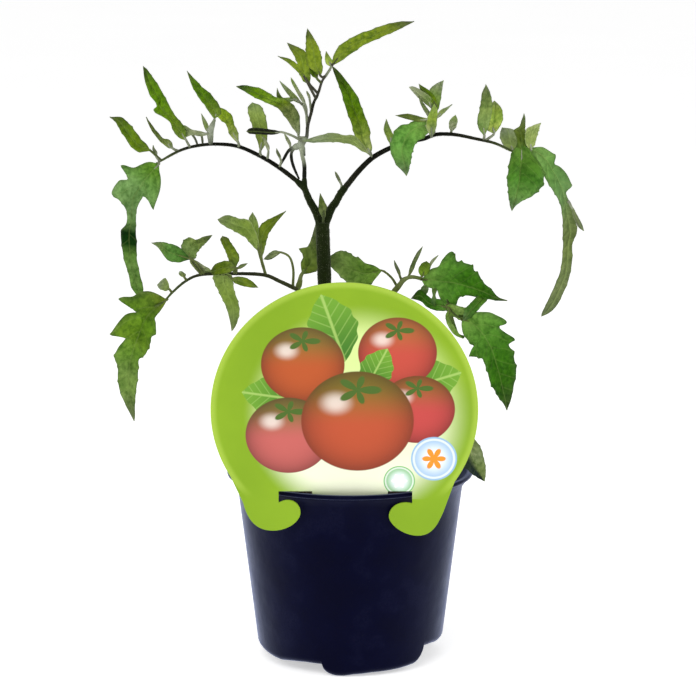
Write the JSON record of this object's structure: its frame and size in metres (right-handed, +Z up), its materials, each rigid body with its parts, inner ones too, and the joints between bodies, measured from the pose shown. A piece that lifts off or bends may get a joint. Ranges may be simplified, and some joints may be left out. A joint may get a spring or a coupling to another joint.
{
  "type": "tomato plant in a pot",
  "caption": "Young tomato plant with cut and lobed compound leaves on a forked stem, in a round tapered nursery pot with a picture tag over the rim.",
  "frame": {"origin": "on the pot's axis, at the flat underside of the pot that stands on the ground", "axes": "+Z up along the stem, -Y to the front where the picture tag hangs, +X to the right seen from the front"},
  "size_m": [0.1962, 0.1102, 0.2697],
  "materials": {
    "pot_plastic": "smooth dark navy moulded plastic with a soft sheen",
    "peat": "damp dark fibrous peat",
    "tag_sheet": "printed plastic sheet with a yellow-green border",
    "stem": "dark green hairy stem",
    "leaf": "soft green veined leaf, greyer below"
  },
  "bodies": {
    "root": {"pot": "pot_plastic", "soil": "peat", "picture_tag": "tag_sheet", "trunk": "stem", "shoot_top": "leaf", "frond_upper_left": "leaf", "frond_upper_right": "leaf", "frond_lower_left": "leaf", "frond_lower_right": "leaf", "frond_behind_tag": "leaf"}
  },
  "joints": []
}
